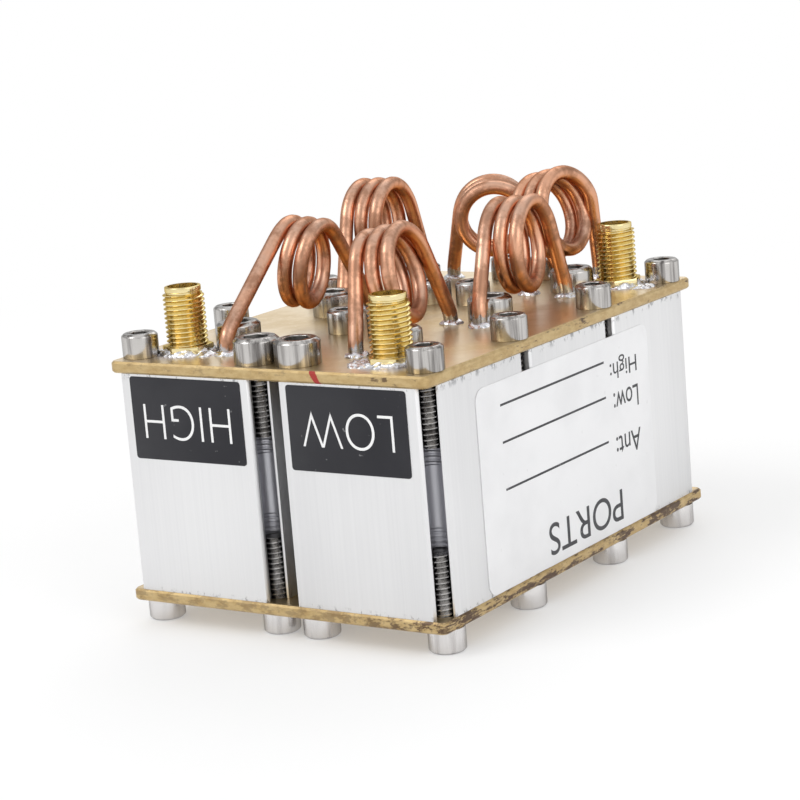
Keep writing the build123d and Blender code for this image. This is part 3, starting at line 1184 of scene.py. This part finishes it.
@dataclass
class Coils:
    """The air-wound coils as smooth bent wire."""

    wire_radius: float = 1.15
    pitch: float = 2.6
    turns: float = 2.5
    step: float = 22.5

    def route(self, winding: Winding) -> list[Vector]:
        """Works out the wire's line from foot to foot.

        Args:
            winding: the coil.

        Returns:
            Control points of a smooth spline, in millimetres.
        """
        heading, lean = math.radians(winding.heading), math.radians(winding.lean)
        level = Vector((math.cos(heading), math.sin(heading), 0.0))
        ahead = level * math.cos(lean) + Vector((0.0, 0.0, math.sin(lean)))
        front = Vector((level.y, -level.x, 0.0))
        up = -ahead.cross(front)
        centre = Vector(winding.centre) + Vector((0.0, 0.0, LEVELS.deck))
        first_bend = Vector((*winding.first_foot, LEVELS.deck + winding.first_height))
        last_bend = Vector((*winding.last_foot, LEVELS.deck + winding.last_height))
        start = self.leaving_angle(first_bend - centre, front, up, winding.radius)
        end = 360.0 * self.turns - self.leaving_angle(last_bend - centre, -front, up, winding.radius)
        count = round((end - start) / self.step)
        step = (end - start) / count
        outer = winding.radius * 3.0 / (2.0 + math.cos(math.radians(step)))
        coiled = []
        for i in range(count + 1):
            angle = math.radians(start + step * i)
            along = ahead * (self.pitch * (math.degrees(angle) / 360.0 - self.turns / 2))
            coiled.append(centre + along + (front * math.cos(angle) + up * math.sin(angle)) * outer)
        first_leg = self.leg(first_bend, coiled[0])
        last_leg = self.leg(last_bend, coiled[-1])
        return first_leg + coiled + last_leg[::-1]

    def leaving_angle(self, away: Vector, outward: Vector, up: Vector, radius: float) -> float:
        """Angle above level, in degrees, at which a straight leg to a bend meets the winding at a tangent."""
        across, height = away.dot(outward), away.dot(up)
        return math.degrees(math.atan2(height, across) + math.acos(radius / math.hypot(across, height)))

    def leg(self, bend: Vector, joined: Vector) -> list[Vector]:
        """Runs a leg from inside the top plate up to its bend and straight on to the winding.

        Args:
            bend: the leg's bend.
            joined: where it joins the winding.

        Returns:
            Its control points.
        """
        heights = (LEVELS.top + 0.3, LEVELS.deck + 0.2)
        foot = [Vector((bend.x, bend.y, height)) for height in heights]
        return foot + [bend] + [bend.lerp(joined, share) for share in (0.12, 0.5, 0.85)]

    def wire(self, winding: Winding) -> Piece:
        """Bends one wire.

        Args:
            winding: the coil.

        Returns:
            The wire as a mesh.
        """
        bpy.ops.object.select_all(action="DESELECT")
        bpy.ops.curve.primitive_nurbs_path_add()
        wire = bpy.context.view_layer.objects.active
        wire.name = f"{winding.name}_wire"
        points = self.route(winding)
        spline = wire.data.splines[0]
        spline.points.add(len(points) - len(spline.points))
        for point, place in zip(spline.points, points):
            point.co = (*(place * MM), 1.0)
        spline.order_u = 4
        spline.use_endpoint_u = True
        spline.resolution_u = 4
        wire.data.bevel_depth = self.wire_radius * MM
        wire.data.bevel_resolution = 6
        wire.data.use_fill_caps = True
        apply_place(wire)
        bpy.ops.object.convert(target="MESH")
        with editing(wire):
            bpy.ops.mesh.remove_doubles(threshold=0.001 * MM)
            face_outwards()
        smooth(wire, 60.0)
        return wire

    def build(self) -> None:
        """Bends all coils."""
        copper = WireFinish().material()
        for winding in WINDINGS:
            settle(self.wire(winding), copper, "coil_wire", winding.name)


@dataclass
class Solder:
    """Solder flowed round the coil feet, heaped round the jack bases and spilt beside them.

    A foot and a heap hold a radius and a height, and a spill its place and then the same.
    """

    foot: Pair = (1.85, 0.85)
    heap: Pair = (4.4, 1.4)
    spills: tuple[tuple[float, float, float, float], ...] = (
        (-15.6, -32.9, 1.7, 0.45), (13.3, -33.3, 2.1, 0.40), (14.6, -35.6, 1.6, 0.35),
        (25.0, 29.9, 2.2, 0.40), (-24.4, -33.8, 1.3, 0.35),
    )
    buried: float = 0.1

    def lump(self, x: float, y: float, radius: float, height: float, detail: int) -> Piece:
        """Models one lump standing on the deck.

        Args:
            x: place of its middle.
            y: place of its middle.
            radius: its radius.
            height: its height.
            detail: how finely it is divided.

        Returns:
            The lump.
        """
        bpy.ops.object.select_all(action="DESELECT")
        place = Vector((x, y, LEVELS.deck)) * MM
        size = (radius, radius, height)
        bpy.ops.mesh.primitive_ico_sphere_add(subdivisions=detail, radius=MM, location=place, scale=size)
        return added("lump")

    def flow(self, lumps: list[Piece], name: str, hump: float, depth: float) -> Piece:
        """Joins lumps, pushes their skin in and out with soft noise and trims what lies inside the plate.

        Args:
            lumps: the lumps.
            name: name of the result.
            hump: size of the humps.
            depth: how far they stand out.

        Returns:
            The solder.
        """
        piece = join(lumps, name)
        texture = bpy.data.textures.new(f"{name}_humps", "CLOUDS")
        texture.noise_scale = hump * MM
        texture.noise_depth = 1
        apply_modifier(
            piece, "DISPLACE", texture=texture, strength=depth * MM, mid_level=0.5, texture_coords="LOCAL",
        )
        with editing(piece):
            cut_level(LEVELS.deck - self.buried, False)
            face_outwards()
        smooth(piece, 60.0)
        return piece

    def build(self) -> None:
        """Models all the solder."""
        finish = Metal.SOLDER.material()
        feet = [place for winding in WINDINGS for place in (winding.first_foot, winding.last_foot)]
        lumps = [self.lump(*place, *self.foot, 4) for place in feet]
        settle(self.flow(lumps, "coil_foot_solder", 0.9, 0.55), finish, "solder", "coil_solder")
        heaps = [self.lump(x, y, *self.heap, 6) for _, x, y in LAYOUT.jacks]
        heaps += [self.lump(*spill, 5) for spill in self.spills]
        settle(self.flow(heaps, "jack_base_solder", 1.5, 0.95), finish, "solder", "jack_solder")


@dataclass
class Labels:
    """Port labels with their words upside down, and the pale side label with a plain port key.

    A port word holds its side, text, width and drop, and a key row its name, text, place along and up
    the label, width and height.
    """

    port_film: FilmFinish = FilmFinish(
        "port_label_film", (0.011, 0.011, 0.016), (0.019, 0.019, 0.024), 0.38, 0.38,
    )
    side_film: FilmFinish = FilmFinish("side_label_film", (0.84, 0.84, 0.85), (0.78, 0.78, 0.79), 0.5)
    white_print: FilmFinish = FilmFinish("white_print", (0.86, 0.86, 0.86), (0.8, 0.8, 0.8), 0.5)
    black_print: FilmFinish = FilmFinish("black_print", (0.03, 0.03, 0.035), (0.05, 0.05, 0.055), 0.5)
    thickness: float = 0.03
    port_corner: float = 0.5
    side_corner: float = 2.0
    port_growth: Pair = (0.25, 0.25)
    side_growth: Pair = (0.45, 0.0)
    port_words: tuple[tuple[str, str, float, float], ...] = (
        ("high", "HIGH", 16.4, 0.45), ("low", "LOW", 16.0, 0.0),
    )
    port_letters: float = 5.4
    port_weight: float = -0.02
    key_rows: tuple[tuple[str, str, float, float, float, float], ...] = (
        ("high", "High:", 17.6, 10.1, 8.6, 3.5),
        ("low", "Low:", 17.9, 4.5, 8.0, 3.5),
        ("antenna", "Ant:", 17.9, -2.6, 8.0, 3.5),
        ("title", "PORTS", 3.2, -11.8, 23.0, 5.0),
        ("high_rule", "_", -4.0, 11.7, 31.0, 0.35),
        ("low_rule", "_", -4.0, 6.1, 31.0, 0.35),
        ("antenna_rule", "_", -4.0, -1.0, 31.0, 0.35),
    )

    def film(self, name: str, node: str, corner: float, growth: Pair) -> Piece:
        """Cuts a label with rounded corners on the place of its solid.

        Args:
            name: name of the piece.
            node: the CAD node that it replaces.
            corner: radius of its corners.
            growth: how far it reaches below and above its solid.

        Returns:
            The label.
        """
        low, high = (end.copy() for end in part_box(node))
        low.z -= growth[0] * MM
        high.z += growth[1] * MM
        size = high - low
        thin = min(range(3), key=lambda axis: size[axis])
        piece = box(name, (low + high) / 2, size)
        depths = [vertex.co[thin] for vertex in piece.data.vertices]

        def crosses(edge: bpy.types.MeshEdge) -> bool:
            """Tells whether an edge runs through the film."""
            return abs(depths[edge.vertices[0]] - depths[edge.vertices[1]]) > size[thin] / 2

        with editing(piece, "EDGE", crosses):
            bpy.ops.mesh.bevel(offset=corner * MM, segments=8)
        apply_modifier(piece, "BEVEL", **rounding(self.thickness, 2, 60.0))
        smooth(piece, 30.0)
        return piece

    def word(self, name: str, text: str, place: Matrix, size: Pair, weight: float) -> Piece:
        """Cuts one word out of thin film.

        Args:
            name: name of the piece.
            text: the word.
            place: where its middle stands and how it is turned.
            size: its width and its letters' height.
            weight: how much thicker or thinner the strokes get, in shares of the letter size.

        Returns:
            The word as a mesh.
        """
        bpy.ops.object.select_all(action="DESELECT")
        bpy.ops.object.text_add()
        word = bpy.context.view_layer.objects.active
        word.name = name
        settings = {"body": text, "align_x": "CENTER", "align_y": "CENTER", "offset": weight, "extrude": 0.01}
        for key, value in settings.items():
            setattr(word.data, key, value)
        only(word)
        bpy.ops.object.convert(target="MESH")
        ranges = [sorted(vertex.co[axis] for vertex in word.data.vertices) for axis in range(3)]
        middle = Vector([(values[0] + values[-1]) / 2 for values in ranges])
        spans = [values[-1] - values[0] for values in ranges]
        scale = [wanted * MM / span for wanted, span in zip((*size, self.thickness), spans)]
        word.data.transform(place @ Matrix.Diagonal((*scale, 1.0)) @ Matrix.Translation(-middle))
        return word

    def build(self) -> None:
        """Lays the films on their places and adds the words."""
        black, white, white_print, black_print = (
            finish.material() for finish in (self.port_film, self.side_film, self.white_print, self.black_print)
        )
        for _, name in SIDES:
            film = self.film(f"{name}_port_film", f"{name}_label", self.port_corner, self.port_growth)
            settle(film, black, "port_label", f"{name}_label")
        side_film = self.film("side_film", "side_label", self.side_corner, self.side_growth)
        settle(side_film, white, "side_label", "side_label")
        upside_down = turn(180.0, "Y") @ turn(90.0, "X")
        for name, text, width, drop in self.port_words:
            low, high = (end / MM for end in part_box(f"{name}_label"))
            place = shift((low.x + high.x) / 2, low.y, (low.z + high.z) / 2 - drop) @ upside_down
            word = self.word(f"{name}_port_word", text, place, (width, self.port_letters), self.port_weight)
            settle(word, white_print, "port_label")
        low, high = (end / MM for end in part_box("side_label"))
        sideways = turn(90.0, "Z") @ upside_down
        for name, text, along, rise, width, height in self.key_rows:
            place = shift(high.x, (low.y + high.y) / 2 + along, (low.z + high.z) / 2 + rise) @ sideways
            word = self.word(f"side_key_{name}", text, place, (width, height), 0.0)
            settle(word, black_print, "side_label")


# Studio


@dataclass
class Studio:
    """Floor, light and the camera at the photograph's angle.

    A lamp holds its name, place, size and power, and a stop of the surround its turn and brightness.
    """

    azimuth: float = 34.55
    elevation: float = 11.77
    roll: float = 4.72
    focal_pixels: float = 2520.5
    frame_pixels: float = 800.0
    eye: Triple = (220.32, -325.06, 109.94)
    sensor: float = 36.0
    aim: Triple = (0.0, 0.0, 0.03)
    lamps: tuple[tuple[str, Triple, float, float], ...] = (
        ("key_lamp", (-0.5, -0.7, 0.9), 0.6, 4.0),
        ("fill_lamp", (0.9, -0.3, 0.5), 0.7, 1.6),
        ("rear_lamp", (-0.3, 0.8, 0.8), 0.7, 1.6),
    )
    surround: tuple[Pair, ...] = (
        (0.0, 0.8), (0.08, 0.1), (0.17, 1.0), (0.27, 1.0), (0.35, 0.12), (0.44, 1.0),
        (0.57, 1.0), (0.65, 0.12), (0.73, 1.0), (0.85, 1.0), (0.93, 0.1), (1.0, 0.8),
    )

    def camera(self) -> None:
        """Places the camera."""
        azimuth, elevation, roll = (math.radians(angle) for angle in (self.azimuth, self.elevation, self.roll))
        right = Vector((math.cos(azimuth), math.sin(azimuth), 0.0))
        level = Vector((-math.sin(azimuth), math.cos(azimuth), 0.0))
        forward = level * math.cos(elevation) - Vector((0.0, 0.0, math.sin(elevation)))
        down = forward.cross(right)
        turned_right = right * math.cos(roll) + down * math.sin(roll)
        turned_down = down * math.cos(roll) - right * math.sin(roll)
        pose = Matrix((turned_right, -turned_down, -forward)).transposed().to_4x4()
        bpy.ops.object.camera_add()
        camera = bpy.context.view_layer.objects.active
        camera.name = "photo_camera"
        camera.matrix_world = shift(*self.eye) @ pose
        camera.data.sensor_width = self.sensor
        camera.data.lens = self.focal_pixels / self.frame_pixels * self.sensor
        camera.data.clip_start = 0.01
        bpy.context.scene.camera = camera

    def lamp(self, name: str, place: Triple, size: float, watts: float) -> None:
        """Adds a soft square lamp that faces the object.

        Args:
            name: its name.
            place: where it hangs, in metres.
            size: its side length in metres.
            watts: its power.
        """
        bpy.ops.object.light_add(type="AREA", location=place)
        lamp = bpy.context.view_layer.objects.active
        lamp.name = name
        lamp.data.size = size
        lamp.data.energy = watts
        lamp.rotation_euler = (Vector(self.aim) - Vector(place)).to_track_quat("-Z", "Y").to_euler()

    def world(self) -> None:
        """Builds a pale surround with softly darker stretches that metal can mirror."""
        world = bpy.data.worlds.new("studio")
        bpy.context.scene.world = world
        world.use_nodes = True
        board = Board(world.node_tree)
        place = board.add("ShaderNodeTexCoord").outputs["Generated"]
        z = board.add("ShaderNodeSeparateXYZ", {"Vector": place}).outputs[2]
        around = board.add("ShaderNodeTexGradient", {"Vector": place}, gradient_type="RADIAL").outputs[0]
        ramp = board.add("ShaderNodeValToRGB", {"Fac": around})
        ramp.color_ramp.interpolation = "B_SPLINE"
        elements = ramp.color_ramp.elements
        while len(elements) < len(self.surround):
            elements.new(0.5)
        for element, (spot, level) in zip(elements, self.surround):
            element.position = spot
            element.color = (level, level, level, 1.0)
        banded = board.blend(board.between(z, 0.17, 0.34), (1.0, 1.0, 1.0), ramp.outputs[0])
        colour = board.blend(board.between(z, 0.5, 0.8), banded, (0.9, 0.9, 0.9))
        board.feed(world.node_tree.nodes["Background"].inputs["Color"], colour)

    def floor(self) -> None:
        """Lays the pale floor, which turns to plain white farther out."""
        bpy.ops.object.select_all(action="DESELECT")
        bpy.ops.mesh.primitive_plane_add(size=6.0, location=(0.0, 0.0, -0.02 * MM))
        floor = added("studio_floor")
        board = Surface("floor_paper")
        board.give({"Base Color": (0.92, 0.92, 0.92), "Roughness": 0.9})
        white = board.add("ShaderNodeEmission", {"Color": (1.0, 1.0, 1.0), "Strength": 1.0})
        rays = board.add("ShaderNodeLightPath").outputs
        mirrored = board.maths("MAXIMUM", rays["Is Glossy Ray"], rays["Is Transmission Ray"])
        seen = board.maths("MAXIMUM", rays["Is Camera Ray"], mirrored)
        away = board.add("ShaderNodeVectorMath", {0: board.place}, operation="LENGTH").outputs["Value"]
        fade = board.times(board.between(away, 0.07, 0.34, 0.3, 1.0), seen)
        mix = board.add("ShaderNodeMixShader", {0: fade, 1: board.shader.outputs[0], 2: white.outputs[0]})
        board.feed(board.tree.nodes["Material Output"].inputs["Surface"], mix.outputs[0])
        floor.data.materials.append(board.material)

    def build(self) -> None:
        """Builds the whole studio."""
        bpy.context.scene.view_settings.view_transform = "Standard"
        self.world()
        self.floor()
        for lamp in self.lamps:
            self.lamp(*lamp)
        self.camera()


def main() -> None:
    """Builds every sub-assembly in order."""
    logging.basicConfig(level=logging.INFO, format="%(name)s: %(message)s")
    for assembly in (Body(), Blocks(), CapScrews(), Jacks(), Coils(), Solder(), Labels(), Studio()):
        assembly.build()


if __name__ == "__main__":
    main()
